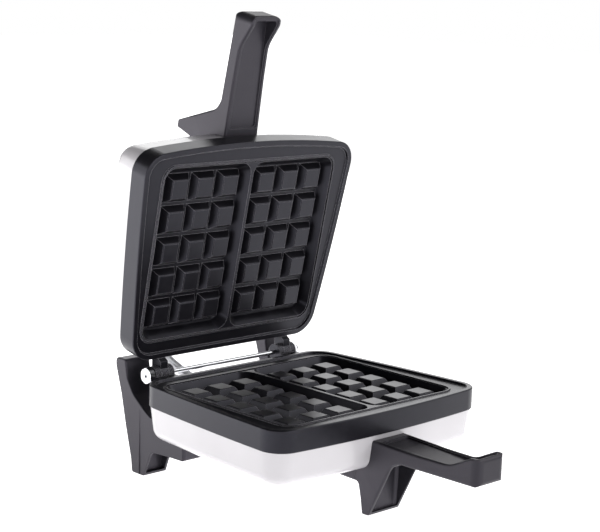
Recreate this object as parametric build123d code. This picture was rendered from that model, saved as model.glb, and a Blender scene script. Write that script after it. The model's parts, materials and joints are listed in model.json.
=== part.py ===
"""Electric waffle maker with a cast plate pair, friction-hinged lid and flip-over handles.

Millimetres. Z = 0 is the floor, Y = 0 is the middle of the front foot's sole, X = 0 is the
middle plane and +X is the right-hand side seen by the person who opens the lid.
"""
import os

from build123d import *

# Hinge and lid position
PARTING_Z = 86.4        # level where the two plates meet when closed
HINGE_Y = 196.25
HINGE_Z = 85.8
LID_OPEN = 79.03        # degrees the lid stands open
RIM_GAP = 0.7           # between the two plate rims when closed

# Cast plates
REAR_Y = 182.25         # straight rear edge of the plate outline
REAR_HALF = 104.8       # half width where the side arcs meet the rear edge
SIDE_BULGE = (114.85, 87.6)
FRONT_HALF = 120.5      # half width where the side arcs meet the front arc
FRONT_CORNER_Y = 0.0
FRONT_BOW_Y = -7.45     # middle of the bowed front edge
REAR_CORNER_SHIFT = 0.875           # x shift of the rear corner per mm of inset
FRONT_CORNER_SHIFT = (1.036, 0.879)  # x and y shift of the front corner per mm of inset
REAR_CORNER_R = 22.0
FRONT_CORNER_R = 20.0
SKIRT_H = 18.55         # height of the vertical band round a plate
SKIRT_T = 2.8
SKIRT_EDGE_R = 1.0
LIP_W = 4.6             # flat sealing lip
CHANNEL_DEPTH = 2.0     # drip channel inside the lip
CHANNEL_SLOPE = 1.2     # width of each sloping side of the channel
RIDGE_DROP = 1.65       # ridge crest below the lip
RIDGE_HALF_X = 97.0
RIDGE_FRONT_Y = 11.75
RIDGE_REAR_Y = 164.25
RIDGE_CORNER_R = 11.0
GROOVE_W = 1.3          # groove between ridge and bead
BEAD_W = 1.7
BEAD_DROP = 1.0
GROOVE_DEPTH = 0.9
PAN_DEPTH = 9.4         # ridge crest to valley floor
PAN_SLOPE_W = 5.7
DIVIDER_HALF = 1.4      # crest of the wall between the two waffle pans
PAN_FLOOR_R = 2.4
BLOCK_PITCH = 28.0
BLOCK_COLUMNS = 3       # per pan
BLOCK_ROWS = 5
FIRST_COLUMN_X = 21.0
FIRST_ROW_Y = 31.75
BLOCK_BASE = 25.0
BLOCK_TOP = 16.6
BLOCK_H = 7.0
BLOCK_CHAMFER = 0.6
PLATE_T = 4.0           # metal under the valley floors

RIM_Z = PARTING_Z - RIM_GAP / 2
SKIRT_Z = RIM_Z - SKIRT_H
RIDGE_Z = RIM_Z - RIDGE_DROP
PAN_Z = RIDGE_Z - PAN_DEPTH
PLATE_UNDER_Z = PAN_Z - PLATE_T

# Hinge
BARREL_R = 7.5
ROD_R = 2.0
ROD_CLEAR = 0.05        # running clearance, radial
HINGE_MID_X = 72.4
TONGUE_W = 8.0          # lid knuckle
KNUCKLE_GAP = 0.2
KNUCKLE_W = 5.8         # each base knuckle
RING_PITCH = 1.4        # turned grooves round the barrels
RING_HALF = 0.25
RING_DEPTH = 0.25
LUG_FRONT = 5.2         # front face of the lid lug ahead of the rod, lid open
LUG_TOP = 11.5
WASHER_T = 1.0
WASHER_R = 6.2
HEX_AF = 13.0
HEX_T = 5.0
HEX_DIMPLE_R = 1.6
NUT_AF = 10.0
NUT_T = 3.2
NUT_DOME_R = 4.6
BARREL_OUT_X = HINGE_MID_X + TONGUE_W / 2 + KNUCKLE_GAP + KNUCKLE_W
BARREL_IN_X = HINGE_MID_X - TONGUE_W / 2 - KNUCKLE_GAP - KNUCKLE_W

# White shells
SHELL_INSET = 1.2       # shell top edge inside the skirt's outer face
SHELL_TAPER = 3.9       # how far the walls lean in over the full depth
SHELL_BOTTOM_Z = 38.0
SHELL_BOTTOM_R = 11.0
SHELL_T = 2.2
TONGUE_H = 3.0          # locating lip that enters the skirt
TONGUE_T = 1.2
TONGUE_CLEAR = 0.1
SHELL_DEPTH = SKIRT_Z - SHELL_BOTTOM_Z

# Handle with foot
ARM_END_Y = 37.75
ARM_HALF = 20.2         # half width at the arm's rear end
TIP_HALF = 16.8         # half width at the tip
HANDLE_TOP_Z = 63.8     # grip face at the shell
GRIP_LOW_Z = 62.0       # grip face before the curl
GRIP_LOW_Y = (-55.0, -84.0)
CURL_TOP_Y = -104.5
HANDLE_UNDER_Z = 50.1
TIP_Y = -112.4
TIP_TOP_Z = 72.2
TIP_CORNER_R = 7.5
HANDLE_EDGE_R = 2.0
RECESS_RIM = 3.3
RECESS_DEPTH = 1.8      # below the grip face, on a straight floor that deepens under the curl
RECESS_STEP = 1.5       # width of the ledge round the recess
RECESS_STEP_DEPTH = 0.7
RECESS_FRONT_Y = -109.8
RECESS_BACK_Y = -12.0
RECESS_R = 2.5
FOOT_HALF_W = 18.6      # half width at the sole
FOOT_HALF_LEN = 3.25
FOOT_WALL = 3.2
FOOT_WEB_Y = -1.6       # front face of the upright web inside the foot
FOOT_CORNER_R = 3.6
ARM_UNDER_Z = 26.0

# Rear stands
STAND_X0 = 68.5
STAND_X1 = 95.0
STAND_FRONT_Y = 137.75
STAND_TOP_Z = 97.4
STAND_CORNER_R = 3.5
STAND_EDGE_R = 1.4
STAND_WALL = 3.0
STAND_WEB_Y = 194.0     # front face of the upright web inside the foot
STAND_STEP_Y = 195.3    # edge of the drafted front part of the outer flank
STAND_STEP = 0.9        # draft at the floor
STAND_STEP_TOP_Z = 65.0  # level where the draft begins

# Screws
SCREW_R = 1.9
SCREW_CLEAR = 0.3
SCREW_HEAD_R = 3.8
SCREW_HEAD_H = 2.2
PLATE_SCREW_XY = [(-80.0, 26.0), (80.0, 26.0), (-52.0, 158.0), (52.0, 158.0)]
HANDLE_SCREW_XY = [(-10.0, 27.0), (10.0, 27.0)]
STAND_SCREW_XY = [(75.0, 148.0), (88.5, 148.0)]
BOSS_R = 4.6
BOSS_TOP_Z = 56.0

# Heating and wiring
ELEMENT_R = 3.3
ELEMENT_Z = PLATE_UNDER_Z - ELEMENT_R
REFLECTOR_T = 0.8
THERMOSTAT_R = 9.0
SPRING_CLEAR = 0.3
CONDUIT_R = 5.0
GLAND_AF = 14.0
GLAND_L = 6.0
CORD_GLAND_R = 9.0
CORD_BORE_R = 3.6
CORD_XZ = (30.0, 52.0)


# Shared helpers
def side_profile(points, x0, x1):
    """Prism from x0 to x1 with the (y, z, corner radius) points as its side view."""
    path = FilletPolyline(*[(p[0], p[1]) for p in points], radius=[p[2] for p in points], close=True)
    return extrude(Plane.YZ.offset(x0) * make_face(path), amount=x1 - x0)


def front_profile(points, y0, y1):
    """Prism from y0 to y1 with the (x, z) points as its front view."""
    face = make_face(Polyline(*points, close=True))
    return extrude(Plane.XZ.offset(-y0) * face, amount=y0 - y1)


def rod_x(radius, x0, x1, y=HINGE_Y, z=HINGE_Z):
    """Cylinder along X."""
    return extrude(Plane.YZ.offset(x0) * Pos(y, z) * Circle(radius), amount=x1 - x0)


def post(radius, x, y, z0, z1):
    """Upright cylinder."""
    return Pos(x, y, z0) * extrude(Circle(radius), amount=z1 - z0)


def block(x0, x1, y0, y1, z0, z1):
    """Rectangular block between two corners."""
    centre = Pos((x0 + x1) / 2, (y0 + y1) / 2, (z0 + z1) / 2)
    return centre * Box(x1 - x0, y1 - y0, z1 - z0)


def rounded_slab(half_x, y0, y1, radius, z0, z1, x_mid=0.0):
    """Upright prism with rounded corners."""
    face = RectangleRounded(2 * half_x, y1 - y0, radius)
    return Pos(x_mid, (y0 + y1) / 2, z0) * extrude(face, amount=z1 - z0)


def turned_over(shape):
    """Half turn about the Y line in the parting plane: base piece to closed lid piece."""
    return Pos(0, 0, 2 * PARTING_Z) * Rot(0, 180, 0) * shape


def opened(shape):
    """Swing a closed lid piece to the stored open position."""
    return Pos(0, HINGE_Y, HINGE_Z) * Rot(-LID_OPEN, 0, 0) * Pos(0, -HINGE_Y, -HINGE_Z) * shape


def lid_copy(shape):
    return opened(turned_over(shape))


def screw(length):
    """Pan-head screw, head upward, under-head face at Z = 0."""
    head = extrude(Circle(SCREW_HEAD_R), amount=SCREW_HEAD_H)
    head = fillet(head.edges().sort_by(Axis.Z)[-1], 1.2)
    shank = Pos(0, 0, -length) * extrude(Circle(SCREW_R), amount=length)
    slot_a = Pos(0, 0, SCREW_HEAD_H) * Box(4.2, 1.0, 2.0)
    slot_b = Pos(0, 0, SCREW_HEAD_H) * Box(1.0, 4.2, 2.0)
    return head + shank - slot_a - slot_b


# Cast plate
def outline(inset=0.0):
    """Plan outline of a plate, moved inward: straight rear edge, bowed sides and front."""
    rear_x = REAR_HALF - REAR_CORNER_SHIFT * inset
    rear_y = REAR_Y - inset
    front_x = FRONT_HALF - FRONT_CORNER_SHIFT[0] * inset
    front_y = FRONT_CORNER_Y + FRONT_CORNER_SHIFT[1] * inset
    bulge_x = SIDE_BULGE[0] - inset
    rear = Line((-rear_x, rear_y), (rear_x, rear_y))
    right = ThreePointArc((rear_x, rear_y), (bulge_x, SIDE_BULGE[1]), (front_x, front_y))
    front = ThreePointArc((front_x, front_y), (0, FRONT_BOW_Y + inset), (-front_x, front_y))
    left = ThreePointArc((-front_x, front_y), (-bulge_x, SIDE_BULGE[1]), (-rear_x, rear_y))
    face = make_face(Curve() + [rear, right, front, left])
    face = fillet(face.vertices().sort_by(Axis.Y)[:2], FRONT_CORNER_R - inset)
    corners = [v for v in face.vertices() if abs(v.Y - rear_y) < 0.01]
    return fillet(corners, REAR_CORNER_R - inset)


def slab(inset, z0, z1):
    """Upright prism on the plate outline."""
    return Pos(0, 0, z0) * extrude(outline(inset), amount=z1 - z0)


def tapered_slab(inset0, z0, inset1, z1):
    """Prism whose outline shrinks or grows between two levels."""
    return loft([Pos(0, 0, z0) * outline(inset0), Pos(0, 0, z1) * outline(inset1)], ruled=True)


def flange_cuts():
    """Drip channel, groove and steps pressed into the flange round the waffle pans."""
    floor_z = RIM_Z - CHANNEL_DEPTH
    bowl = tapered_slab(LIP_W + CHANNEL_SLOPE, floor_z, LIP_W, RIM_Z + 0.01)
    grow = GROOVE_W + BEAD_W
    island = rounded_slab(
        RIDGE_HALF_X + grow, RIDGE_FRONT_Y - grow, RIDGE_REAR_Y + grow,
        RIDGE_CORNER_R + grow, floor_z - 1, RIM_Z - BEAD_DROP,
    )
    island = chamfer(island.faces().sort_by(Axis.Z)[-1].edges(), 0.6)
    inner = rounded_slab(
        RIDGE_HALF_X + GROOVE_W, RIDGE_FRONT_Y - GROOVE_W, RIDGE_REAR_Y + GROOVE_W,
        RIDGE_CORNER_R + GROOVE_W, RIDGE_Z - GROOVE_DEPTH, RIM_Z + 1,
    )
    ridge = rounded_slab(
        RIDGE_HALF_X + 0.6, RIDGE_FRONT_Y - 0.6, RIDGE_REAR_Y + 0.6,
        RIDGE_CORNER_R + 0.6, RIDGE_Z - GROOVE_DEPTH - 1, RIDGE_Z,
    )
    ridge = chamfer(ridge.faces().sort_by(Axis.Z)[-1].edges(), 0.5)
    return [bowl - island, inner - ridge]


def waffle_pan(side):
    """The sloping-walled hollow of one waffle."""
    mid = side * (DIVIDER_HALF + RIDGE_HALF_X) / 2
    half = (RIDGE_HALF_X - DIVIDER_HALF) / 2
    mid_y = (RIDGE_FRONT_Y + RIDGE_REAR_Y) / 2
    depth = RIDGE_REAR_Y - RIDGE_FRONT_Y
    top = RectangleRounded(2 * half, depth, RIDGE_CORNER_R)
    low = RectangleRounded(2 * (half - PAN_SLOPE_W), depth - 2 * PAN_SLOPE_W, RIDGE_CORNER_R - 3.0)
    pan = loft([Pos(mid, mid_y, PAN_Z) * low, Pos(mid, mid_y, RIDGE_Z) * top], ruled=True)
    pan = fillet(pan.faces().sort_by(Axis.Z)[0].edges(), PAN_FLOOR_R)
    above = Pos(mid, mid_y, RIDGE_Z) * extrude(top, amount=4)
    return pan + above


def waffle_blocks():
    """Truncated pyramids that press the pockets into the waffle."""
    base = Rectangle(BLOCK_BASE, BLOCK_BASE)
    crown = Pos(0, 0, BLOCK_H) * Rectangle(BLOCK_TOP, BLOCK_TOP)
    one = loft([base, crown], ruled=True)
    one = chamfer(one.faces().sort_by(Axis.Z)[-1].edges(), BLOCK_CHAMFER)
    root = Pos(0, 0, -1) * extrude(base, amount=1.0)
    one = one + root
    places = []
    for side in (-1, 1):
        for i in range(BLOCK_COLUMNS):
            for j in range(BLOCK_ROWS):
                x = side * (FIRST_COLUMN_X + i * BLOCK_PITCH)
                places.append(Pos(x, FIRST_ROW_Y + j * BLOCK_PITCH, PAN_Z))
    return [place * one for place in places]


def plate_casting():
    """One cooking plate with skirt, without its hinge knuckles."""
    body = slab(0, SKIRT_Z, RIM_Z)
    rims = body.faces().sort_by(Axis.Z)
    body = fillet(rims[0].edges() + rims[-1].edges(), SKIRT_EDGE_R)
    under = rounded_slab(
        RIDGE_HALF_X + 2, RIDGE_FRONT_Y - 2, RIDGE_REAR_Y + 2, RIDGE_CORNER_R + 2,
        PLATE_UNDER_Z, RIM_Z,
    )
    hollow = slab(SKIRT_T, SKIRT_Z - 1, RIM_Z - 6.4) - under
    body = body - hollow
    for cut in flange_cuts():
        body = body - cut
    body = body - waffle_pan(-1) - waffle_pan(1)
    body = body + waffle_blocks()
    for x, y in PLATE_SCREW_XY:
        body = body + post(BOSS_R, x, y, BOSS_TOP_Z + REFLECTOR_T, PLATE_UNDER_Z + 0.5)
        body = body - post(SCREW_R + 0.02, x, y, BOSS_TOP_Z, PLATE_UNDER_Z - 2)
    return body


def grooved_barrel(x0, x1):
    """Turned barrel along the hinge axis with fine ring grooves."""
    count = round((x1 - x0) / RING_PITCH)
    pitch = (x1 - x0) / count
    points = [(x0, 0), (x0, BARREL_R)]
    for i in range(count):
        mid = x0 + (i + 0.5) * pitch
        points += [(mid - RING_HALF, BARREL_R), (mid, BARREL_R - RING_DEPTH), (mid + RING_HALF, BARREL_R)]
    points += [(x1, BARREL_R), (x1, 0)]
    barrel = revolve(make_face(Polyline(*points, close=True)), Axis.X)
    return Pos(0, HINGE_Y, HINGE_Z) * barrel


def beside_rod(y, z):
    """Closed-lid place of a point given from the rod with the lid open."""
    turned = Vector(0, y, z).rotate(Axis.X, LID_OPEN)
    return HINGE_Y + turned.Y, HINGE_Z + turned.Z


def knuckle(x0, x1, lid_side):
    """Barrel with the web or lug that joins it to the skirt."""
    root = REAR_Y - 0.6
    if lid_side:
        clear_z = PARTING_Z + RIM_GAP / 2 + 0.4
        web = side_profile(
            [
                (root, clear_z, 0),
                (REAR_Y + 0.1, clear_z, 0),
                (*beside_rod(-LUG_FRONT, LUG_TOP), 1.0),
                (*beside_rod(-LUG_FRONT, BARREL_R - 3.0), 0),
                (HINGE_Y, HINGE_Z, 0),
                (HINGE_Y - 2, HINGE_Z + 7.1, 0),
                (root, HINGE_Z + 9.5, 0),
            ],
            x0, x1,
        )
    else:
        near = RIM_Z - 0.8
        web = side_profile(
            [
                (root, near, 0),
                (HINGE_Y - 2, near, 0),
                (HINGE_Y, HINGE_Z, 0),
                (HINGE_Y - 2, HINGE_Z - BARREL_R + 0.35, 0),
                (root, PARTING_Z - 14.0, 0),
            ],
            x0, x1,
        )
    return web + grooved_barrel(x0, x1)


def bored(shape):
    """Drill the hinge bore."""
    return shape - rod_x(ROD_R + ROD_CLEAR, -BARREL_OUT_X - 5, BARREL_OUT_X + 5)


def lower_plate():
    body = plate_casting()
    for side in (-1, 1):
        outer = sorted((side * (BARREL_OUT_X - KNUCKLE_W), side * BARREL_OUT_X))
        inner = sorted((side * BARREL_IN_X, side * (BARREL_IN_X + KNUCKLE_W)))
        body = body + knuckle(*outer, False) + knuckle(*inner, False)
    return bored(body)


def upper_plate():
    body = turned_over(plate_casting())
    for side in (-1, 1):
        mid = side * HINGE_MID_X
        body = body + knuckle(mid - TONGUE_W / 2, mid + TONGUE_W / 2, True)
    return opened(bored(body))


# White shells
def shell_block(thin=0.0):
    """Solid inside of the shell surface, moved inward by the given thickness."""
    z0 = SHELL_BOTTOM_Z + thin
    lean = SHELL_TAPER * (SKIRT_Z - z0) / SHELL_DEPTH
    body = tapered_slab(SHELL_INSET + thin + lean, z0, SHELL_INSET + thin, SKIRT_Z)
    return fillet(body.faces().sort_by(Axis.Z)[0].edges(), SHELL_BOTTOM_R - thin)


def shell_tongue():
    inset = SKIRT_T + TONGUE_CLEAR
    ring = slab(inset, SKIRT_Z - 2.5, SKIRT_Z + TONGUE_H)
    return ring - slab(inset + TONGUE_T, SKIRT_Z - 3, SKIRT_Z + TONGUE_H + 1)


def shell_with_bosses(screw_xy):
    body = shell_block() - shell_block(SHELL_T) + shell_tongue()
    floor_z = SHELL_BOTTOM_Z
    for x, y in PLATE_SCREW_XY:
        body = body + post(BOSS_R + 1.4, x, y, floor_z + 0.5, BOSS_TOP_Z)
        body = body - post(SCREW_HEAD_R + 0.6, x, y, floor_z - 1, floor_z + 6)
        body = body - post(SCREW_R + SCREW_CLEAR, x, y, floor_z, BOSS_TOP_Z + 1)
    for x, y in screw_xy:
        body = body + post(BOSS_R, x, y, floor_z + 0.5, floor_z + 12)
        body = body - post(SCREW_R + 0.02, x, y, floor_z - 1, floor_z + 10)
    return body


def base_vents():
    """Rows of slots in the underside."""
    cuts = []
    for side in (-1, 1):
        for i in range(5):
            slot = SlotOverall(26, 3)
            cuts.append(Pos(side * 36, 78 + 9 * i, SHELL_BOTTOM_Z - 1) * extrude(slot, amount=4))
    return cuts


def lower_shell():
    mirrored = [(-x, y) for x, y in STAND_SCREW_XY]
    body = shell_with_bosses(HANDLE_SCREW_XY + STAND_SCREW_XY + mirrored)
    for cut in base_vents():
        body = body - cut
    body = body - outlet_hole(base_outlet())
    body = body - cord_hole()
    return body


def upper_shell():
    body = turned_over(shell_with_bosses(HANDLE_SCREW_XY))
    body = body - post(LAMP_R + 0.1, LAMP_X, LAMP_Y, PARTING_Z + 30, PARTING_Z + 60)
    body = body - outlet_hole(lid_outlet())
    return opened(body)


# Pilot lamp
LAMP_X = 0.0
LAMP_Y = 60.0
LAMP_R = 4.0


def pilot_lamp():
    top = 2 * PARTING_Z - SHELL_BOTTOM_Z
    lens = post(LAMP_R, LAMP_X, LAMP_Y, top - 6, top) + post(LAMP_R + 1.4, LAMP_X, LAMP_Y, top, top + 2.0)
    lens = fillet(lens.edges().sort_by(Axis.Z)[-1], 1.6)
    clip = post(LAMP_R + 1.0, LAMP_X, LAMP_Y, top - 6, top - SHELL_T)
    return opened(lens + clip)


# Handle with foot
def handle_half(y):
    """Half width of the moulding, which narrows evenly from the arm's end to the tip."""
    return TIP_HALF + (ARM_HALF - TIP_HALF) * (y - TIP_Y) / (ARM_END_Y - TIP_Y)


def between_flanks(inset, y0, y1, z0, z1, front_r=0.0, rear_r=0.0):
    """Upright prism between the handle's flanks, moved inward by the inset."""
    w0 = handle_half(y0) - inset
    w1 = handle_half(y1) - inset
    corners = [(-w0, y0), (w0, y0), (w1, y1), (-w1, y1)]
    path = FilletPolyline(*corners, radius=[front_r, front_r, rear_r, rear_r], close=True)
    return Pos(0, 0, z0) * extrude(make_face(path), amount=z1 - z0)


def grip_line(drop):
    """Side view of the gripping face: a gentle fall, then the curl up to the tip."""
    return [
        (4.0, HANDLE_TOP_Z - drop, 0),
        (GRIP_LOW_Y[0], GRIP_LOW_Z - drop, 120.0),
        (GRIP_LOW_Y[1], GRIP_LOW_Z - drop, 24.0),
        (CURL_TOP_Y, TIP_TOP_Z - drop, 7.0),
    ]


def handle_side():
    """Side outline of the one-piece handle, foot and arm."""
    return grip_line(0) + [
        (TIP_Y, TIP_TOP_Z, 3.4),
        (TIP_Y, HANDLE_UNDER_Z, 4.0),
        (-34.0, HANDLE_UNDER_Z, 11.0),
        (-25.8, 46.0, 12.0),
        (-FOOT_HALF_LEN, 0.0, 1.0),
        (3.4, 0.0, 1.0),
        (5.9, 13.9, 14.0),
        (8.9, ARM_UNDER_Z, 4.0),
        (ARM_END_Y, ARM_UNDER_Z + 1.0, 2.0),
        (ARM_END_Y, 44.0, 0),
        (12.0, 48.0, 0),
    ]


def foot_pocket():
    """Hollow of the foot, open to the front, closed behind by an upright web."""
    half = handle_half(0) - FOOT_WALL
    hollow = rounded_slab(half, -60.0, FOOT_WEB_Y, FOOT_CORNER_R, 2.4, 46.4)
    lean = handle_half(0) - FOOT_HALF_W
    taper = front_profile(
        [(-half, 60), (-half, 42), (-half + lean, 0), (half - lean, 0), (half, 42), (half, 60)], -50, 30
    )
    return hollow & taper


def handle_recess():
    """Hollow of the gripping face: a ledge that follows the curl, then a straight floor."""
    above = TIP_TOP_Z + 10
    front = TIP_Y - 5
    follow = side_profile(
        grip_line(RECESS_STEP_DEPTH)
        + [(front, TIP_TOP_Z - RECESS_STEP_DEPTH, 0), (front, above, 0), (4.0, above, 0)],
        -ARM_HALF, ARM_HALF,
    )
    ledge = follow & between_flanks(
        RECESS_RIM, RECESS_FRONT_Y, RECESS_BACK_Y, 40, above, RECESS_R, RECESS_R
    )
    fall = (HANDLE_TOP_Z - GRIP_LOW_Z) / (4.0 - GRIP_LOW_Y[0])
    floor = side_profile(
        [
            (4.0, HANDLE_TOP_Z - RECESS_DEPTH, 0),
            (TIP_Y, HANDLE_TOP_Z - RECESS_DEPTH - fall * (4.0 - TIP_Y), 0),
            (TIP_Y, above, 0),
            (4.0, above, 0),
        ],
        -ARM_HALF, ARM_HALF,
    )
    step = RECESS_STEP
    pocket = floor & between_flanks(
        RECESS_RIM + step, RECESS_FRONT_Y + step, RECESS_BACK_Y - step, 40, above, RECESS_R, RECESS_R
    )
    return ledge + pocket


def handle_moulding():
    blank = side_profile(handle_side(), -ARM_HALF - 1, ARM_HALF + 1)
    body = blank & between_flanks(0, TIP_Y - 1, ARM_END_Y + 1, -5, 90)
    flanks = [f for f in body.faces() if abs(f.normal_at().X) > 0.99]
    edges = ShapeList()
    for flank in flanks:
        edges += [e for e in flank.edges() if e.center().Y < 3 or e.center().Z < 30]
    body = fillet(edges, HANDLE_EDGE_R)
    body = body & between_flanks(0, TIP_Y, ARM_END_Y + 1, -5, 90, front_r=TIP_CORNER_R)
    widest = handle_half(12)
    for side in (-1, 1):
        wedge = front_profile(
            [(side * widest, 44), (side * 30, 44), (side * 30, -5), (side * (FOOT_HALF_W - 0.1), -5)],
            -40, 12,
        )
        body = body - wedge
    body = body - shell_block() - foot_pocket() - handle_recess()
    for x, y in HANDLE_SCREW_XY:
        body = body - post(SCREW_HEAD_R + 0.5, x, y, 20, SHELL_BOTTOM_Z - 4)
        body = body - post(SCREW_R + SCREW_CLEAR, x, y, 20, SHELL_BOTTOM_Z + 2)
    return body


# Rear stands
def stand_side():
    return [
        (216.4, STAND_TOP_Z, 2.0),
        (229.6, STAND_TOP_Z, 3.4),
        (229.4, 90.0, 14.0),
        (221.6, 66.6, 30.0),
        (215.2, 40.4, 30.0),
        (207.0, 12.0, 20.0),
        (205.4, 0.0, 2.5),
        (190.0, 0.0, 1.0),
        (186.6, 9.5, 10.0),
        (180.5, 23.0, 8.0),
        (160.0, 24.5, 10.0),
        (STAND_FRONT_Y, 25.0, 2.0),
        (STAND_FRONT_Y, 44.0, 0),
        (166.0, 52.0, 0),
        (180.0, 52.9, 0),
        (188.0, 57.0, 18.0),
        (204.5, 69.0, 20.0),
        (213.2, 81.5, 16.0),
    ]


def stand_pocket():
    """Hollow of the stand's foot, open to the front, closed behind by an upright web."""
    return side_profile(
        [
            (178.0, 2.4, 0),
            (STAND_WEB_Y, 2.4, 2.0),
            (STAND_WEB_Y, 30.0, 3.0),
            (187.0, 30.0, 3.0),
            (178.0, 23.0, 0),
        ],
        STAND_X0 + STAND_WALL, STAND_X1 - STAND_WALL,
    )


def rear_stand():
    body = side_profile(stand_side(), STAND_X0, STAND_X1)
    flanks = [f for f in body.faces() if abs(f.normal_at().X) > 0.99]
    edges = ShapeList()
    for flank in flanks:
        edges += [e for e in flank.edges() if e.center().Y > 183 or e.center().Z < 30]
    body = fillet(edges, STAND_EDGE_R)
    half = (STAND_X1 - STAND_X0) / 2
    plan = rounded_slab(half, STAND_FRONT_Y, 270, STAND_CORNER_R, -5, 120, STAND_X0 + half)
    body = (body & plan) - shell_block() - stand_pocket()
    draft = front_profile(
        [
            (STAND_X1, STAND_STEP_TOP_Z),
            (STAND_X1 + 1, STAND_STEP_TOP_Z),
            (STAND_X1 + 1, -1),
            (STAND_X1 - STAND_STEP, -1),
        ],
        130, STAND_STEP_Y,
    )
    body = body - draft
    for x, y in STAND_SCREW_XY:
        body = body - post(SCREW_HEAD_R + 0.5, x, y, 20, SHELL_BOTTOM_Z - 4)
        body = body - post(SCREW_R + SCREW_CLEAR, x, y, 20, SHELL_BOTTOM_Z + 2)
    return body


# Hinge rod, nut and washers
def hex_prism(across, x0, x1, y=HINGE_Y, z=HINGE_Z, turn=30.0):
    face = RegularPolygon(across / 2, 6, major_radius=False, rotation=turn)
    return extrude(Plane.YZ.offset(x0) * Pos(y, z) * face, amount=x1 - x0)


def hinge_bolt():
    head_in = -BARREL_OUT_X - WASHER_T
    head_out = head_in - HEX_T
    head = hex_prism(HEX_AF, head_out, head_in)
    cone = Pos(head_in, HINGE_Y, HINGE_Z) * Rot(0, -90, 0) * Cone(
        HEX_AF * 0.577 + 4.2, HEX_AF * 0.577 - 0.8, HEX_T, align=(Align.CENTER, Align.CENTER, Align.MIN)
    )
    head = head & cone
    head = head - rod_x(HEX_DIMPLE_R, head_out - 1, head_out + 1.2)
    end = BARREL_OUT_X + WASHER_T + NUT_T + 1.5
    return head + rod_x(ROD_R, head_in - 1, end)


def hinge_cap_nut():
    x0 = BARREL_OUT_X + WASHER_T
    base = hex_prism(NUT_AF, x0, x0 + NUT_T, turn=0.0)
    dome = Pos(x0 + NUT_T, HINGE_Y, HINGE_Z) * Sphere(NUT_DOME_R)
    dome = dome & block(x0, x0 + 20, HINGE_Y - 10, HINGE_Y + 10, HINGE_Z - 10, HINGE_Z + 10)
    thread = rod_x(ROD_R + 0.02, x0 - 1, x0 + NUT_T + 1.6)
    return base + dome - thread


def hinge_washers():
    left = rod_x(WASHER_R, -BARREL_OUT_X - WASHER_T, -BARREL_OUT_X)
    right = rod_x(WASHER_R, BARREL_OUT_X, BARREL_OUT_X + WASHER_T)
    return (left + right) - rod_x(ROD_R + 0.02, -100, 100)


# Conduit between base and lid
CONDUIT_BASE = (-7.5, 57.0)               # x, z where it leaves the base's rear wall
CONDUIT_BASE_AIM = (-0.25, 0.95, 0.20)
CONDUIT_LID = (-56.5, 113.2)              # x, z (lid closed) where it leaves the lid's rear wall
CONDUIT_LID_AIM = (0.49, 0.872, 0.0)      # lid closed


def wall_y(z_off):
    """Y of the rear shell wall at a distance from the skirt's edge."""
    return REAR_Y - SHELL_INSET - SHELL_TAPER * z_off / SHELL_DEPTH


def base_outlet():
    """Plane on the base's wall, looking out along the conduit."""
    x, z = CONDUIT_BASE
    return Plane(origin=(x, wall_y(SKIRT_Z - z), z), z_dir=CONDUIT_BASE_AIM)


def lid_outlet():
    """The same for the lid, still closed."""
    x, z = CONDUIT_LID
    return Plane(origin=(x, wall_y(z - (2 * PARTING_Z - SKIRT_Z)), z), z_dir=CONDUIT_LID_AIM)


def outlet_hole(outlet):
    return outlet * Pos(0, 0, -12) * extrude(Circle(CONDUIT_R + SPRING_CLEAR), amount=24)


def gland(outlet, solid_inside):
    """Hexagonal gland seated on a shell's rear wall."""
    face = RegularPolygon(GLAND_AF / 2, 6, major_radius=False)
    body = Pos(0, 0, -5) * extrude(face, amount=GLAND_L + 5)
    body = chamfer(body.faces().sort_by(Axis.Z)[-1].edges(), 0.8)
    bore = Pos(0, 0, -8) * extrude(Circle(CONDUIT_R + SPRING_CLEAR), amount=30)
    return outlet * (body - bore) - solid_inside


def cord_hole():
    return extrude(Plane.XZ.offset(-160) * Pos(*CORD_XZ) * Circle(CORD_GLAND_R - 3.0), amount=-40)


def cord_gland():
    """Strain-relief bushing for the supply cord, through the rear wall."""
    y_wall = wall_y(SKIRT_Z - CORD_XZ[1])
    disc = Pos(*CORD_XZ) * Circle(CORD_GLAND_R)
    outer = extrude(Plane.XZ.offset(-(y_wall - 0.9)) * disc, amount=-4.4)
    outer = fillet(outer.faces().sort_by(Axis.Y)[-1].edges(), 1.2)
    outer = outer - shell_block()
    neck = extrude(Plane.XZ.offset(-(y_wall - 6)) * Pos(*CORD_XZ) * Circle(CORD_GLAND_R - 3.1), amount=-7)
    sleeve = extrude(Plane.XZ.offset(-y_wall) * Pos(*CORD_XZ) * Circle(CORD_BORE_R + 2.0), amount=-9)
    bore = extrude(Plane.XZ.offset(-(y_wall - 12)) * Pos(*CORD_XZ) * Circle(CORD_BORE_R), amount=-30)
    return outer + neck + sleeve - bore


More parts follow.
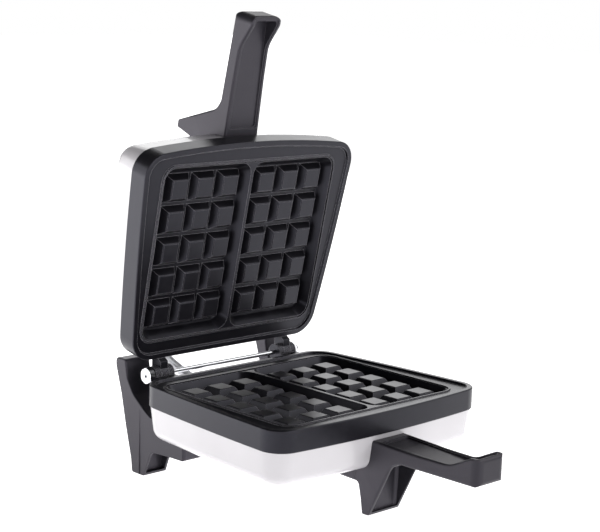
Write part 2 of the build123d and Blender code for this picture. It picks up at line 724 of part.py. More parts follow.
def flexible_conduit():
    """Metal conduit that carries the lid's wires across the hinge."""
    start_mark = lid_outlet() * Pos(0, 0, 0) * Sphere(0.1)
    ahead_mark = lid_outlet() * Pos(0, 0, 16) * Sphere(0.1)
    start = opened(start_mark).center()
    ahead = opened(ahead_mark).center()
    base = base_outlet()
    finish = base.origin
    points = [
        start,
        Vector(ahead.X, ahead.Y, ahead.Z),
        Vector(-28.4, 221.1, 76.4),
        finish + base.z_dir * 26.0,
        finish,
    ]
    radii = []
    for a, b, c in zip(points, points[1:], points[2:]):
        first = b - a
        second = c - b
        half_turn = first.get_angle(second) / 2
        shorter = min(first.length, second.length)
        radii.append(round(0.45 * shorter / tangent(half_turn), 2))
    print("conduit bend radii", radii, "runs", [round((b - a).length, 1) for a, b in zip(points, points[1:])])
    path = FilletPolyline(*points, radius=radii)
    section = Plane(origin=start, z_dir=ahead - start) * Circle(CONDUIT_R)
    body = sweep(section, path=path)
    print("conduit length", round(path.length, 1), "volume over section", round(body.volume / section.area, 1))
    return body


def tangent(degrees):
    """Tangent through a line that is turned by the given angle."""
    turned = Vector(1, 0, 0).rotate(Axis.Z, degrees)
    return turned.Y / turned.X


# Heating parts
def heating_element():
    """Sheathed tubular element bent into a loop under the plate, ends turned down."""
    path = FilletPolyline(
        (-20, 145, 50), (-20, 145, ELEMENT_Z), (-62, 145, ELEMENT_Z), (-62, 34, ELEMENT_Z),
        (62, 34, ELEMENT_Z), (62, 145, ELEMENT_Z), (20, 145, ELEMENT_Z), (20, 145, 50),
        radius=[8, 18, 24, 24, 18, 8],
    )
    section = Plane(origin=(-20, 145, 50), z_dir=(0, 0, 1)) * Circle(ELEMENT_R)
    return sweep(section, path=path)


def element_clamps():
    """Saddle clips that hold the element against the plate."""
    parts = []
    for x, y, turn in ((-62, 92, 0), (62, 92, 0), (0, 34, 90)):
        saddle = Box(ELEMENT_R * 2 + 9, 9, 1.2)
        saddle = Pos(0, 0, -ELEMENT_R - 0.6) * saddle
        legs = [
            Pos(s * (ELEMENT_R + 3.9), 0, 0) * Box(1.2, 9, 2 * ELEMENT_R)
            for s in (-1, 1)
        ]
        parts.append(Pos(x, y, ELEMENT_Z) * Rot(0, 0, turn) * (saddle + legs))
    return Compound(children=parts)


def reflector():
    """Thin aluminium pan, clamped between the shell's bosses and the plate's posts."""
    z0 = BOSS_TOP_Z
    outer = rounded_slab(88, 17, 168, 12, z0, z0 + 4)
    t = REFLECTOR_T
    inner = rounded_slab(88 - t, 17 + t, 168 - t, 12 - t, z0 + t, z0 + 5)
    body = outer - inner
    for x, y in PLATE_SCREW_XY:
        body = body - post(SCREW_R + SCREW_CLEAR, x, y, 40, 80)
    return body - block(-30, 30, 134, 180, 40, 80)


def thermostat():
    """Disc thermostat on a short post under the plate."""
    disc = post(THERMOSTAT_R, 0, 96, PLATE_UNDER_Z - 8, PLATE_UNDER_Z)
    blades = [block(s * 6 - 2.4, s * 6 + 2.4, 95.6, 96.4, PLATE_UNDER_Z - 13, PLATE_UNDER_Z - 8) for s in (-1, 1)]
    return disc + blades


def thermal_fuse():
    """Axial thermal fuse in its sleeve, clipped beside the thermostat."""
    tube = extrude(Plane.YZ.offset(-8) * Pos(112, PLATE_UNDER_Z - 2.0) * Circle(2.0), amount=16)
    leads = extrude(Plane.YZ.offset(-15) * Pos(112, PLATE_UNDER_Z - 2.0) * Circle(0.6), amount=30)
    return tube + leads


def terminal_block():
    """Three-way terminal block standing on the shell floor."""
    body = block(-16, 16, 116, 128, SHELL_BOTTOM_Z + SHELL_T, SHELL_BOTTOM_Z + 13)
    for x in (-10, 0, 10):
        body = body - post(2.0, x, 122, SHELL_BOTTOM_Z + 7, SHELL_BOTTOM_Z + 14)
        body = body - extrude(Plane.XZ.offset(-110) * Pos(x, SHELL_BOTTOM_Z + 6) * Circle(1.6), amount=-30)
    return body


def screws_at(places, z_head, length):
    """Screws that enter upward from below, heads down."""
    flipped = Rot(180, 0, 0) * screw(length)
    return Compound(children=[Pos(x, y, z_head) * flipped for x, y in places])


# Assembly
def make_nodes():
    handle = handle_moulding()
    stand = rear_stand()
    element = heating_element()
    clamps = element_clamps()
    pan = reflector()
    inside = shell_block()
    plate_screws = screws_at(PLATE_SCREW_XY, SHELL_BOTTOM_Z + 6, 24)
    handle_screws = screws_at(HANDLE_SCREW_XY, SHELL_BOTTOM_Z - 4, 12)
    stand_places = STAND_SCREW_XY + [(-x, y) for x, y in STAND_SCREW_XY]
    return {
        "lower_shell": lower_shell(),
        "lower_plate": lower_plate(),
        "lower_handle": handle,
        "rear_stand_right": stand,
        "rear_stand_left": mirror(stand, about=Plane.YZ),
        "hinge_bolt": hinge_bolt(),
        "hinge_cap_nut": hinge_cap_nut(),
        "hinge_washers": hinge_washers(),
        "lower_element": element,
        "lower_element_clamps": clamps,
        "lower_reflector": pan,
        "thermostat": thermostat(),
        "thermal_fuse": thermal_fuse(),
        "terminal_block": terminal_block(),
        "cord_gland": cord_gland(),
        "lower_plate_screws": plate_screws,
        "lower_handle_screws": handle_screws,
        "stand_screws": screws_at(stand_places, SHELL_BOTTOM_Z - 4, 12),
        "lower_conduit_gland": gland(base_outlet(), inside),
        "flexible_conduit": flexible_conduit(),
        "upper_shell": upper_shell(),
        "upper_plate": upper_plate(),
        "upper_handle": lid_copy(handle),
        "upper_element": lid_copy(element),
        "upper_element_clamps": lid_copy(clamps),
        "upper_reflector": lid_copy(pan),
        "upper_plate_screws": lid_copy(plate_screws),
        "upper_handle_screws": lid_copy(handle_screws),
        "upper_conduit_gland": opened(gland(lid_outlet(), turned_over(inside))),
        "pilot_lamp": pilot_lamp(),
    }


if __name__ == "__main__":
    os.makedirs("parts", exist_ok=True)
    for name, shape in make_nodes().items():
        export_step(shape, f"parts/{name}.step")
        box = shape.bounding_box()
        low = tuple(round(v, 2) for v in box.min)
        high = tuple(round(v, 2) for v in box.max)
        print(f"{name:24s} {low} {high} volume {shape.volume:.0f}")
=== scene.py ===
# %% [markdown]
# # An open electric waffle maker
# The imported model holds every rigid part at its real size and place: two cast plates, two
# white shells, two handles with feet, two rear stands and the hinge. Those meshes stay as
# they are. What is left to do here is what the eye reads as material: the sprayed coating
# on the castings, the grain of the moulded handles, the gloss of the shells, plated steel,
# and the wound metal conduit, whose ribs are modelled as a new piece.

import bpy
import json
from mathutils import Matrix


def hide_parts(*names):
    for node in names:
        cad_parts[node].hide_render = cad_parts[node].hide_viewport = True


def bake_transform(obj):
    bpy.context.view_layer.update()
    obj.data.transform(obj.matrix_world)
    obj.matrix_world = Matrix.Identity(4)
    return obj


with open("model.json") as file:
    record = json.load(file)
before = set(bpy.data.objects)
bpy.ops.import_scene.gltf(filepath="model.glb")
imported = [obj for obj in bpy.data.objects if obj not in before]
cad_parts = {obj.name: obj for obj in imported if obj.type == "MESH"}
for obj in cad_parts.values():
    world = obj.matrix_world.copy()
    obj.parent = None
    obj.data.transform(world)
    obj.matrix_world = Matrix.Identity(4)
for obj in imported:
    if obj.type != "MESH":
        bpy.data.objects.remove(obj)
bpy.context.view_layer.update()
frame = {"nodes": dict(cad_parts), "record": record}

# %% [markdown]
# ## Small helpers
# Colours are picked as sRGB hex values, the way a picture editor shows them, while shaders
# want linear light, so one function turns the first into the second. Pattern sizes are
# thought of in millimetres, while a noise texture wants repeats per metre, so a second one
# turns those. A third adds a node with its settings and its links in one call, which keeps
# each material short enough to read.

# %% Helpers for colours, pattern sizes and nodes
import json
import math

import bmesh
import bpy
from mathutils import Matrix, Vector

MM = 0.001
NOISE_ENDS = (0.3, 0.7)     # most values of a noise texture lie between these


def srgb(text):
    """Linear red, green, blue and full alpha of a hex colour such as #ffeedd."""
    shown = [int(text[i:i + 2], 16) / 255 for i in (1, 3, 5)]
    linear = [c / 12.92 if c <= 0.04045 else ((c + 0.055) / 1.055) ** 2.4 for c in shown]
    return (*linear, 1.0)


def every(mm):
    """Texture scale at which one grain or step is this many millimetres wide."""
    return 1.0 / (mm * MM)


def add(tree, kind, settings=None, links=None):
    """One new node: its options and socket values, and what its sockets are joined to."""
    node = tree.nodes.new(kind)
    for name, value in (settings or {}).items():
        if isinstance(name, str) and hasattr(node, name):
            setattr(node, name, value)
        else:
            node.inputs[name].default_value = value
    for name, source in (links or {}).items():
        tree.links.new(source, node.inputs[name])
    return node


def ramp(tree, source, low, high, start=0.0, end=1.0):
    """Turns a pattern's value into a colour between two hex colours."""
    node = add(tree, "ShaderNodeValToRGB", links={"Fac": source})
    first, last = node.color_ramp.elements
    first.position, first.color = start, srgb(low)
    last.position, last.color = end, srgb(high)
    return node.outputs["Color"]


def start_material(name):
    """An empty material: its node tree, its shader and the piece's own coordinates."""
    material = bpy.data.materials.new(name)
    material.use_nodes = True
    tree = material.node_tree
    tree.nodes.clear()
    shader = add(tree, "ShaderNodeBsdfPrincipled")
    add(tree, "ShaderNodeOutputMaterial", links={"Surface": shader.outputs["BSDF"]})
    place = add(tree, "ShaderNodeTexCoord").outputs["Object"]
    return material, tree, shader, place


print("white is", srgb("#ffffff"), "and a 2 mm grain has scale", every(2))

# %% [markdown]
# ## The camera
# The photograph looks down a little on the open appliance from its front left corner,
# through a long lens. The camera's place, the point it aims at, its slight roll and its
# focal length were worked out from the corners of the waffle blocks and of the edge around
# them on both plates, and the line of the hinge rod. The camera's own axes are built from the
# viewing direction, so nothing has to be turned by eye.

# %% Camera at the photograph's viewing angle
CAMERA_PLACE = Vector((-0.9534, -0.86585, 0.4325))
CAMERA_AIM = Vector((-0.03066, 0.07221, 0.19455))
CAMERA_ROLL = math.radians(2.01)
FOCAL_LENGTH_MM = 98.77
SENSOR_WIDTH_MM = 36.0

back = (CAMERA_PLACE - CAMERA_AIM).normalized()
level_right = Vector((0, 0, 1)).cross(back).normalized()
level_up = back.cross(level_right)
camera_right = level_right * math.cos(CAMERA_ROLL) + level_up * math.sin(CAMERA_ROLL)
camera_up = level_up * math.cos(CAMERA_ROLL) - level_right * math.sin(CAMERA_ROLL)
lens = bpy.data.cameras.new("studio_camera")
lens.lens = FOCAL_LENGTH_MM
lens.sensor_width = SENSOR_WIDTH_MM
camera = bpy.data.objects.new("studio_camera", lens)
turn = Matrix((camera_right, camera_up, back)).transposed()
camera.matrix_world = Matrix.Translation(CAMERA_PLACE) @ turn.to_4x4()
bpy.context.scene.collection.objects.link(camera)
bpy.context.scene.camera = camera
print("camera is", round((CAMERA_PLACE - CAMERA_AIM).length, 3), "m from its aim")

# %% [markdown]
# ## Soft studio light
# The photograph is high-key: a glowing white sweep, and one large softbox, low behind the
# appliance on the left, which puts a broad sheen on every dark face turned that way. A
# larger panel behind on the right gives the flat tops their shine at the grazing angle, and
# one high on the right draws the pale lines along upper edges and along the hinge rod. A
# low, narrow one in front, the strongest for its size, lights the faces on that side. Area
# lights are used because their size sets how soft a sheen is. The room around is dim to
# everything but the camera, which sees the white of the sweep.

# %% Softboxes and room
LEFT_WATTS = 12.0
BACK_WATTS = 18.0
RIGHT_WATTS = 11.0
FRONT_WATTS = 15.0
ROOM_STRENGTH = 0.08


def softbox(name, place, width, height, watts):
    """A rectangular area light that faces the appliance."""
    light = bpy.data.lights.new(name, "AREA")
    light.shape = "RECTANGLE"
    light.size = width
    light.size_y = height
    light.energy = watts
    box = bpy.data.objects.new(name, light)
    aim = Vector(place) - CAMERA_AIM
    box.matrix_world = Matrix.Translation(Vector(place)) @ aim.to_track_quat("Z", "Y").to_matrix().to_4x4()
    box.visible_camera = False
    bpy.context.scene.collection.objects.link(box)


softbox("left_softbox", (-1.35, 1.45, 0.56), width=1.8, height=1.1, watts=LEFT_WATTS)
softbox("back_panel", (1.3, 1.6, 0.75), width=1.8, height=1.8, watts=BACK_WATTS)
softbox("right_softbox", (1.25, -0.6, 1.2), width=1.4, height=1.4, watts=RIGHT_WATTS)
softbox("front_softbox", (0.15, -1.9, 0.4), width=1.6, height=0.7, watts=FRONT_WATTS)

world = bpy.data.worlds.new("white_sweep")
world.use_nodes = True
tree = world.node_tree
tree.nodes.clear()
room = add(tree, "ShaderNodeBackground", {"Color": srgb("#ffffff"), "Strength": ROOM_STRENGTH})
sweep = add(tree, "ShaderNodeBackground", {"Color": srgb("#ffffff"), "Strength": 1.0})
rays = add(tree, "ShaderNodeLightPath")
seen = add(
    tree, "ShaderNodeMixShader", None,
    {0: rays.outputs["Is Camera Ray"], 1: room.outputs["Background"], 2: sweep.outputs["Background"]},
)
add(tree, "ShaderNodeOutputWorld", None, {"Surface": seen.outputs["Shader"]})
bpy.context.scene.world = world
bpy.context.scene.view_settings.view_transform = "Standard"

# %% [markdown]
# ## The floor
# A studio sweep is paper or painted board: matte, nearly white, with no edge in view. One
# large square of four corners does it. The faint cloudiness of real paper keeps the
# shadows from looking computed. Such a sweep is often translucent and lit from below, which
# is why the photograph has hardly any shadow, so the paper glows. It glows most behind the
# appliance on the left, which is the part that the dark faces on that side mirror, and least
# in a round patch in front, which the lid mirrors. Seen from the side, that patch is grey.

# %% Pale floor
FLOOR_SIDE = 14.0
LAMP_GLOW = 2.3
LAMP_WAY = (-0.7, 0.7, 0.0)
LAMP_ENDS = (0.0, 0.8)      # metres along the way at which the glow starts to rise and is full
DIM_GLOW = 0.55
DIM_PLACE = (0.12, -0.72, 0.0)
DIM_ENDS = (0.42, 0.72)     # metres from the place at which the dimming starts to fade and ends

floor_mesh = bpy.data.meshes.new("sweep_floor")
bm = bmesh.new()
bmesh.ops.create_grid(bm, x_segments=1, y_segments=1, size=FLOOR_SIDE / 2)
bm.to_mesh(floor_mesh)
bm.free()
floor = bpy.data.objects.new("sweep_floor", floor_mesh)
bpy.context.scene.collection.objects.link(floor)
paper, tree, shader, place = start_material("sweep_paper_matte")
clouds = add(tree, "ShaderNodeTexNoise", {"Scale": every(180), "Detail": 3.0}, {"Vector": place})
tree.links.new(ramp(tree, clouds.outputs["Fac"], "#f4f4f5", "#f8f8f8"), shader.inputs["Base Color"])
shader.inputs["Roughness"].default_value = 0.85
shader.inputs["Specular IOR Level"].default_value = 0.2


def glow_fade(kind, place_or_way, start, end, first, last):
    """From one glow to another, by distance along a way or from a place, in metres."""
    metres = add(tree, "ShaderNodeVectorMath", {"operation": kind, 1: place_or_way}, {0: place})
    return add(
        tree, "ShaderNodeMapRange",
        {
            "interpolation_type": "SMOOTHSTEP", "From Min": start, "From Max": end,
            "To Min": first, "To Max": last,
        },
        {"Value": metres.outputs["Value"]},
    ).outputs["Result"]


glow = add(
    tree, "ShaderNodeMath", {"operation": "MULTIPLY"},
    {
        0: glow_fade("DOT_PRODUCT", LAMP_WAY, *LAMP_ENDS, 1.0, LAMP_GLOW),
        1: glow_fade("DISTANCE", DIM_PLACE, *DIM_ENDS, DIM_GLOW, 1.0),
    },
)
shader.inputs["Emission Color"].default_value = srgb("#ffffff")
tree.links.new(glow.outputs["Value"], shader.inputs["Emission Strength"])
floor_mesh.materials.append(paper)
print("floor side", FLOOR_SIDE, "m")

# %% [markdown]
# ## Non-stick coating on cast aluminium
# The plates are die-cast aluminium, grit-blasted and sprayed with a fluoropolymer coating
# that is baked on. The spray leaves a satin film with a fine orange-peel texture. The Bevel
# node reads how the normal turns near an edge. That softens the casting's edges as the film
# does, and where the two normals differ the colour is lifted to a pale grey: a painted
# highlight, a thin pale line along every edge. Down in the valleys between the blocks the
# reflection is dimmed, which is painted shade: the Ambient Occlusion node tells how deep in
# such a corner a point lies, and the Specular Tint takes most of the shine away there.

# %% Non-stick coating
# Limits of the painted edge highlight, and of the painted shade in the valleys.
FLAT_AGREE = 0.995          # cosine between the face's normal and the softened one, off an edge
EDGE_AGREE = 0.80           # and where the surface turns over an edge
VALLEY_DEPTH = 12.0 * MM
VALLEY_ENDS = (0.48, 0.88)  # open share of the surroundings, deep in a valley and out of it


def painted_highlight_share(tree, bevel):
    """Share of the painted edge highlight: 0 on open faces, up to 1 where the surface turns over an edge.
    """
    flat = add(tree, "ShaderNodeNewGeometry").outputs["Normal"]
    agree = add(
        tree, "ShaderNodeVectorMath", {"operation": "DOT_PRODUCT"},
        {0: bevel.outputs["Normal"], 1: flat},
    )
    return add(
        tree, "ShaderNodeMapRange", {"From Min": FLAT_AGREE, "From Max": EDGE_AGREE},
        {"Value": agree.outputs["Value"]},
    ).outputs["Result"]


def nonstick_coating():
    material, tree, shader, place = start_material("fluoropolymer_sprayed_on_cast_aluminium")
    bevel = add(tree, "ShaderNodeBevel", {"samples": 4, "Radius": 0.6 * MM})
    mottle = add(tree, "ShaderNodeTexNoise", {"Scale": every(9), "Detail": 4.0}, {"Vector": place})
    body = ramp(tree, mottle.outputs["Fac"], "#121115", "#18171b", *NOISE_ENDS)
    # Painted highlight: the colour is lifted to a pale grey where the surface turns over an edge.
    colour = add(
        tree, "ShaderNodeMix", {"data_type": "RGBA", 7: srgb("#a9a7ae")},
        {0: painted_highlight_share(tree, bevel), 6: body},
    )
    tree.links.new(colour.outputs[2], shader.inputs["Base Color"])
    sheen = add(
        tree, "ShaderNodeMapRange", {"To Min": 0.26, "To Max": 0.34},
        {"Value": mottle.outputs["Fac"]},
    )
    tree.links.new(sheen.outputs["Result"], shader.inputs["Roughness"])
    peel = add(tree, "ShaderNodeTexNoise", {"Scale": every(0.8), "Detail": 3.0}, {"Vector": place})
    bump = add(
        tree, "ShaderNodeBump", {"Strength": 0.35, "Distance": 0.05 * MM},
        {"Height": peel.outputs["Fac"], "Normal": bevel.outputs["Normal"]},
    )
    tree.links.new(bump.outputs["Normal"], shader.inputs["Normal"])
    shader.inputs["IOR"].default_value = 1.42
    # Painted shade: the specular tint falls to a dark grey deep in the valleys, dimming their reflection.
    open_share = add(
        tree, "ShaderNodeAmbientOcclusion",
        {"samples": 4, "only_local": True, "Distance": VALLEY_DEPTH},
    )
    shine = ramp(tree, open_share.outputs["AO"], "#3a393f", "#ecebff", *VALLEY_ENDS)
    tree.links.new(shine, shader.inputs["Specular Tint"])
    return material


coating = nonstick_coating()
print("made", coating.name)

# %% [markdown]
# ## Spark-eroded grain on the handles and stands
# Handles, feet and stands are injection moulded from a heat-resistant, glass-filled
# plastic. The mould is spark eroded, which leaves an even matte grain of a quarter of a
# millimetre. That would vanish at the photograph's scale, so the grain is drawn at about
# 0.6 mm. Broad, weak clouds stand for the way the filler shows through thick and thin
# walls. Edges are a little paler than the flats, a painted highlight along every edge.

# %% Moulded plastic with an eroded grain
def eroded_plastic():
    material, tree, shader, place = start_material("glass_filled_nylon_spark_eroded")
    bevel = add(tree, "ShaderNodeBevel", {"samples": 4, "Radius": 0.5 * MM})
    clouds = add(tree, "ShaderNodeTexNoise", {"Scale": every(30), "Detail": 3.0}, {"Vector": place})
    body = ramp(tree, clouds.outputs["Fac"], "#222126", "#28272c", *NOISE_ENDS)
    # Painted highlight: the colour is lifted to a mid grey where the surface turns over an edge.
    colour = add(
        tree, "ShaderNodeMix", {"data_type": "RGBA", 7: srgb("#4a484e")},
        {0: painted_highlight_share(tree, bevel), 6: body},
    )
    tree.links.new(colour.outputs[2], shader.inputs["Base Color"])
    grain = add(tree, "ShaderNodeTexNoise", {"Scale": every(0.6), "Detail": 4.0}, {"Vector": place})
    dull = add(
        tree, "ShaderNodeMapRange", {"To Min": 0.36, "To Max": 0.48},
        {"Value": grain.outputs["Fac"]},
    )
    tree.links.new(dull.outputs["Result"], shader.inputs["Roughness"])
    bump = add(
        tree, "ShaderNodeBump", {"Strength": 0.5, "Distance": 0.06 * MM},
        {"Height": grain.outputs["Fac"], "Normal": bevel.outputs["Normal"]},
    )
    tree.links.new(bump.outputs["Normal"], shader.inputs["Normal"])
    shader.inputs["IOR"].default_value = 1.5
    shader.inputs["Specular Tint"].default_value = srgb("#f6efff")
    return material


moulding = eroded_plastic()
print("made", moulding.name)

# %% [markdown]
# ## Glossy white shells
# The two covers are moulded from a white, polished thermoplastic. Its gloss is that of the
# polished mould: sharp at the surface, with a very long, very shallow waviness where the
# wall cooled, which bends reflections slightly. A coat layer gives the sharp part and a
# rougher base under it gives the soft glow.

# %% Polished white thermoplastic
def gloss_white():
    material, tree, shader, place = start_material("white_pbt_polished_mould")
    tint = add(tree, "ShaderNodeTexNoise", {"Scale": every(60), "Detail": 2.0}, {"Vector": place})
    white = ramp(tree, tint.outputs["Fac"], "#d0cdd1", "#d6d3d7", *NOISE_ENDS)
    tree.links.new(white, shader.inputs["Base Color"])
    haze = add(tree, "ShaderNodeMapRange", {"To Min": 0.22, "To Max": 0.30}, {"Value": tint.outputs["Fac"]})
    tree.links.new(haze.outputs["Result"], shader.inputs["Roughness"])
    wave = add(tree, "ShaderNodeTexNoise", {"Scale": every(14), "Detail": 1.0}, {"Vector": place})
    bump = add(
        tree, "ShaderNodeBump", {"Strength": 0.15, "Distance": 0.05 * MM},
        {"Height": wave.outputs["Fac"]},
    )
    tree.links.new(bump.outputs["Normal"], shader.inputs["Normal"])
    shader.inputs["IOR"].default_value = 1.5
    shader.inputs["Coat Weight"].default_value = 0.6
    shader.inputs["Coat Roughness"].default_value = 0.06
    return material


white_shell = gloss_white()
print("made", white_shell.name)

# %% [markdown]
# ## Metals
# Five metals show or lie inside: bright zinc-plated steel on the hinge bolt, nut, washers
# and glands, plain zinc on the screws, dull heat-tinted sheath on the elements, rolled
# aluminium on the reflectors and the steel strip that the conduit is wound from. They differ
# in colour, in roughness and in the size of their marks, so one function makes them all from
# those facts. The marks of the bright zinc, the sheath and the rolled aluminium are also
# stretched, as drawing and rolling leave them.

# %% Plated, drawn and rolled metals
ROUGH_SPREAD = 0.06


def marked_metal(name, dark, light, rough, stretch, grain_mm, depth_mm=0.01):
    """A metal whose fine marks are stretched by three factors along X, Y and Z."""
    material, tree, shader, place = start_material(name)
    along = add(tree, "ShaderNodeMapping", {"Scale": stretch}, {"Vector": place})
    marks = add(
        tree, "ShaderNodeTexNoise", {"Scale": every(grain_mm), "Detail": 5.0},
        {"Vector": along.outputs["Vector"]},
    )
    body = ramp(tree, marks.outputs["Fac"], dark, light, *NOISE_ENDS)
    tree.links.new(body, shader.inputs["Base Color"])
    polish = add(
        tree, "ShaderNodeMapRange", {"To Min": rough - ROUGH_SPREAD, "To Max": rough + ROUGH_SPREAD},
        {"Value": marks.outputs["Fac"]},
    )
    tree.links.new(polish.outputs["Result"], shader.inputs["Roughness"])
    bump = add(
        tree, "ShaderNodeBump", {"Strength": 0.4, "Distance": depth_mm * MM},
        {"Height": marks.outputs["Fac"]},
    )
    tree.links.new(bump.outputs["Normal"], shader.inputs["Normal"])
    shader.inputs["Metallic"].default_value = 1.0
    return material


bright_zinc = marked_metal("steel_bright_zinc_plated", "#c4c5c8", "#dedfe2", 0.17, (0.08, 1, 1), 0.5)
dull_zinc = marked_metal("steel_dull_zinc_barrel_plated", "#9a9b9f", "#b9babe", 0.32, (1, 1, 1), 0.8)
sheath = marked_metal("nickel_alloy_sheath_heat_tinted", "#4a4440", "#6d655d", 0.42, (0.3, 0.3, 1), 1.2)
rolled = marked_metal("aluminium_bright_rolled", "#c2c3c5", "#dcdcde", 0.24, (0.05, 1, 1), 0.4)
wound = marked_metal("stainless_strip_wound", "#c4c5c8", "#dedfe2", 0.30, (1, 1, 1), 3.0)
print("made", [m.name for m in (bright_zinc, dull_zinc, sheath, rolled, wound)])

# %% [markdown]
# ## Small insulating parts
# Inside and behind sit a ceramic-filled thermostat disc, a fuse in a glass-fibre sleeve,
# the terminal block, the rubbery cord gland and the pilot lamp's red lens. All are simple
# moulded or fired bodies, so one function covers the opaque ones. The lamp lens is clear
# tinted plastic and lets light through, which Transmission gives.

# %% Fired, moulded and clear small parts
def plain_body(name, low, high, rough, grain_mm, depth_mm):
    """An opaque moulded or fired body with a fine, even grain."""
    material, tree, shader, place = start_material(name)
    grain = add(tree, "ShaderNodeTexNoise", {"Scale": every(grain_mm), "Detail": 4.0}, {"Vector": place})
    body = ramp(tree, grain.outputs["Fac"], low, high, *NOISE_ENDS)
    tree.links.new(body, shader.inputs["Base Color"])
    bump = add(
        tree, "ShaderNodeBump", {"Strength": 0.5, "Distance": depth_mm * MM},
        {"Height": grain.outputs["Fac"]},
    )
    tree.links.new(bump.outputs["Normal"], shader.inputs["Normal"])
    shader.inputs["Roughness"].default_value = rough
    shader.inputs["IOR"].default_value = 1.5
    return material


def clear_lens():
    """Red polycarbonate with the faint flow lines of its moulding."""
    material, tree, shader, place = start_material("red_polycarbonate_clear_moulded")
    flow = add(tree, "ShaderNodeTexNoise", {"Scale": every(2.5), "Detail": 2.0}, {"Vector": place})
    red = ramp(tree, flow.outputs["Fac"], "#b3120c", "#cc2418", *NOISE_ENDS)
    tree.links.new(red, shader.inputs["Base Color"])
    bump = add(
        tree, "ShaderNodeBump", {"Strength": 0.2, "Distance": 0.03 * MM},
        {"Height": flow.outputs["Fac"]},
    )
    tree.links.new(bump.outputs["Normal"], shader.inputs["Normal"])
    shader.inputs["Roughness"].default_value = 0.12
    shader.inputs["IOR"].default_value = 1.58
    shader.inputs["Transmission Weight"].default_value = 0.6
    return material


steatite = plain_body("steatite_fired_glazed", "#cfc6b2", "#ded6c4", 0.35, 1.5, 0.02)
glass_sleeve = plain_body("glass_fibre_sleeve_braided", "#d3d3cd", "#e4e4de", 0.7, 0.6, 0.08)
terminal = plain_body("polyamide_natural_moulded", "#d2cdbf", "#dcd7ca", 0.45, 2.0, 0.02)
gland_nylon = plain_body("polyamide_black_moulded", "#1c1c1e", "#242427", 0.5, 0.7, 0.04)
lamp_lens = clear_lens()
print("made", [m.name for m in (steatite, glass_sleeve, terminal, gland_nylon, lamp_lens)])

# %% [markdown]
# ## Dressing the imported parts
# The record names a material slot for every node. One table from slot to finish therefore
# dresses them all, and a node that had no finish would stop the script at once.

# %% Finish of each slot
finish_of = {
    "white_shell": white_shell,
    "nonstick_plate": coating,
    "charcoal_moulding": moulding,
    "plated_steel": bright_zinc,
    "element_steel": sheath,
    "screw_steel": dull_zinc,
    "reflector_aluminium": rolled,
    "thermostat_body": steatite,
    "fuse_body": glass_sleeve,
    "terminal_plastic": terminal,
    "gland_plastic": gland_nylon,
    "conduit_metal": wound,
    "lamp_lens": lamp_lens,
}
for part in frame["record"]["subparts"]:
    mesh = frame["nodes"][part["node"]].data
    mesh.materials.clear()
    mesh.materials.append(finish_of[part["material_slot"]])

# %% [markdown]
# ## The conduit's route
# The lid's wires cross the hinge inside a flexible metal conduit that leaves the base's
# rear wall, swings out behind the hinge rod and enters the lid's rear wall. A NURBS spline
# with a handful of chosen control points gives one smooth curve, as a stiff hose takes.
# Blender turns the curve without a bevel into a line of points, and the ribs follow those.

# %% Route of the conduit
CONDUIT_DIAMETER = 10.0 * MM
CURVE_STEPS = 24
CONDUIT_ROUTE = [
    (-0.05650, 0.22006, 0.10696),
    (-0.04866, 0.22271, 0.09327),
    (-0.02840, 0.22110, 0.07640),
    (-0.01398, 0.20430, 0.06219),
    (-0.00750, 0.17966, 0.05700),
]


def spline_points(route):
    """Closely spaced points along a smooth curve with the route as its control points."""
    curve = bpy.data.curves.new("conduit_route", "CURVE")
    curve.dimensions = "3D"
    curve.resolution_u = CURVE_STEPS
    spline = curve.splines.new("NURBS")
    spline.points.add(len(route) - 1)
    for point, place in zip(spline.points, route):
        point.co = (*place, 1.0)
    spline.order_u = 3
    spline.use_endpoint_u = True
    holder = bpy.data.objects.new("conduit_route", curve)
    line = bpy.data.meshes.new_from_object(holder)
    points = [v.co.copy() for v in line.vertices]
    bpy.data.objects.remove(holder)
    bpy.data.curves.remove(curve)
    bpy.data.meshes.remove(line)
    return points


def length_of(points):
    return sum((b - a).length for a, b in zip(points, points[1:]))


conduit_line = spline_points(CONDUIT_ROUTE)
print("conduit line", len(conduit_line), "points,", round(length_of(conduit_line) / MM, 1), "mm")

# %% [markdown]
# ## The conduit's wound strip
# Such a conduit is a steel strip rolled to a shallow hook and wound in a helix, each turn
# locking into the last, which leaves a screw of rounded ribs. The profile of one turn is a
# few vertices. Spinning it with a climb of one pitch per turn lays the turns edge to edge,
# and merging doubles joins them into one skin. The straight hose is then cut square at
# both ends, closed, and carried onto the route by frames that don't twist.

# %% Straight hose, then bent onto its route
RIB_PITCH = 1.25 * MM
RIB_DEPTH = 0.14 * MM
RIB_SIDES = 24
# One rib from valley to valley: share of the pitch, and depth as a share of the rib's depth.
RIB_SHAPE = [(0.0, 1.0), (0.14, 0.35), (0.30, 0.0), (0.66, 0.0), (0.84, 0.35), (1.0, 1.0)]
SPARE_TURNS = 3             # half of them are cut off again at each end
MERGE_DISTANCE = 0.02 * MM


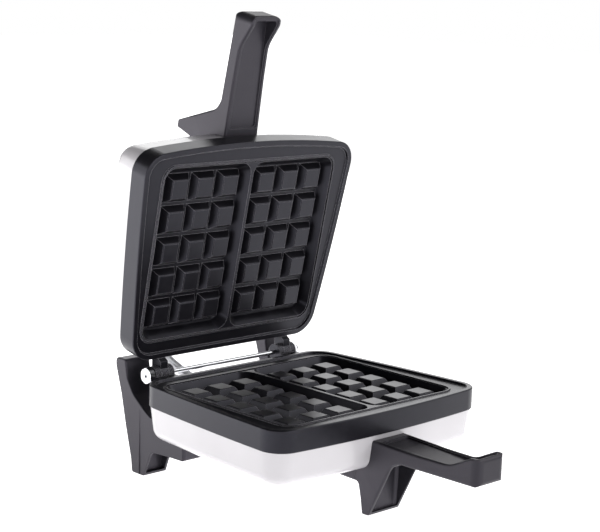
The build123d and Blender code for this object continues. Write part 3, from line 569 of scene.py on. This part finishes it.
def straight_hose(length):
    """A ribbed tube along +Z from 0 to length."""
    hose = bmesh.new()
    crest = CONDUIT_DIAMETER / 2
    line = [hose.verts.new((crest - RIB_DEPTH * drop, 0, RIB_PITCH * share)) for share, drop in RIB_SHAPE]
    edges = [hose.edges.new(pair) for pair in zip(line, line[1:])]
    turns = math.ceil(length / RIB_PITCH) + SPARE_TURNS
    steps = turns * RIB_SIDES
    bmesh.ops.spin(
        hose, geom=line + edges, cent=(0, 0, 0), axis=(0, 0, 1), dvec=(0, 0, RIB_PITCH / RIB_SIDES),
        angle=2 * math.pi * turns, steps=steps, use_merge=False,
    )
    bmesh.ops.remove_doubles(hose, verts=hose.verts, dist=MERGE_DISTANCE)
    bmesh.ops.translate(hose, verts=hose.verts, vec=(0, 0, -SPARE_TURNS / 2 * RIB_PITCH))
    for level, way in ((0.0, -1), (length, 1)):
        everything = hose.verts[:] + hose.edges[:] + hose.faces[:]
        bmesh.ops.bisect_plane(
            hose, geom=everything, plane_co=(0, 0, level), plane_no=(0, 0, way), clear_outer=True
        )
    rims = [e for e in hose.edges if e.is_boundary]
    bmesh.ops.holes_fill(hose, edges=rims, sides=0)
    bmesh.ops.recalc_face_normals(hose, faces=hose.faces)
    return hose


def bend_onto(hose, points):
    """Carries a tube along +Z onto a line of points, without twisting it."""
    travelled = [0.0]
    for a, b in zip(points, points[1:]):
        travelled.append(travelled[-1] + (b - a).length)
    ways = [(b - a).normalized() for a, b in zip(points, points[1:])]
    side = ways[0].orthogonal().normalized()
    frames = []
    for before, way in zip([ways[0]] + ways, ways):
        side = before.rotation_difference(way) @ side
        frames.append((side.copy(), way.cross(side)))
    for vertex in hose.verts:
        x, y, along = vertex.co
        i = 0
        while i < len(ways) - 1 and travelled[i + 1] < along:
            i += 1
        share = (along - travelled[i]) / (travelled[i + 1] - travelled[i])
        after = frames[min(i + 1, len(frames) - 1)]
        right = frames[i][0].lerp(after[0], share).normalized()
        up = frames[i][1].lerp(after[1], share).normalized()
        vertex.co = points[i].lerp(points[i + 1], share) + right * x + up * y


hose = straight_hose(length_of(conduit_line))
bend_onto(hose, conduit_line)
conduit_mesh = bpy.data.meshes.new("conduit_hose")
hose.to_mesh(conduit_mesh)
hose.free()
for face in conduit_mesh.polygons:
    face.use_smooth = True
conduit = bpy.data.objects.new("conduit_hose", conduit_mesh)
bpy.context.scene.collection.objects.link(conduit)
conduit_mesh.materials.append(wound)
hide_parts("flexible_conduit")
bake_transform(conduit)
print("conduit has", len(conduit_mesh.polygons), "faces")

# %% [markdown]
# ## The end

# %% Finish
print("done")
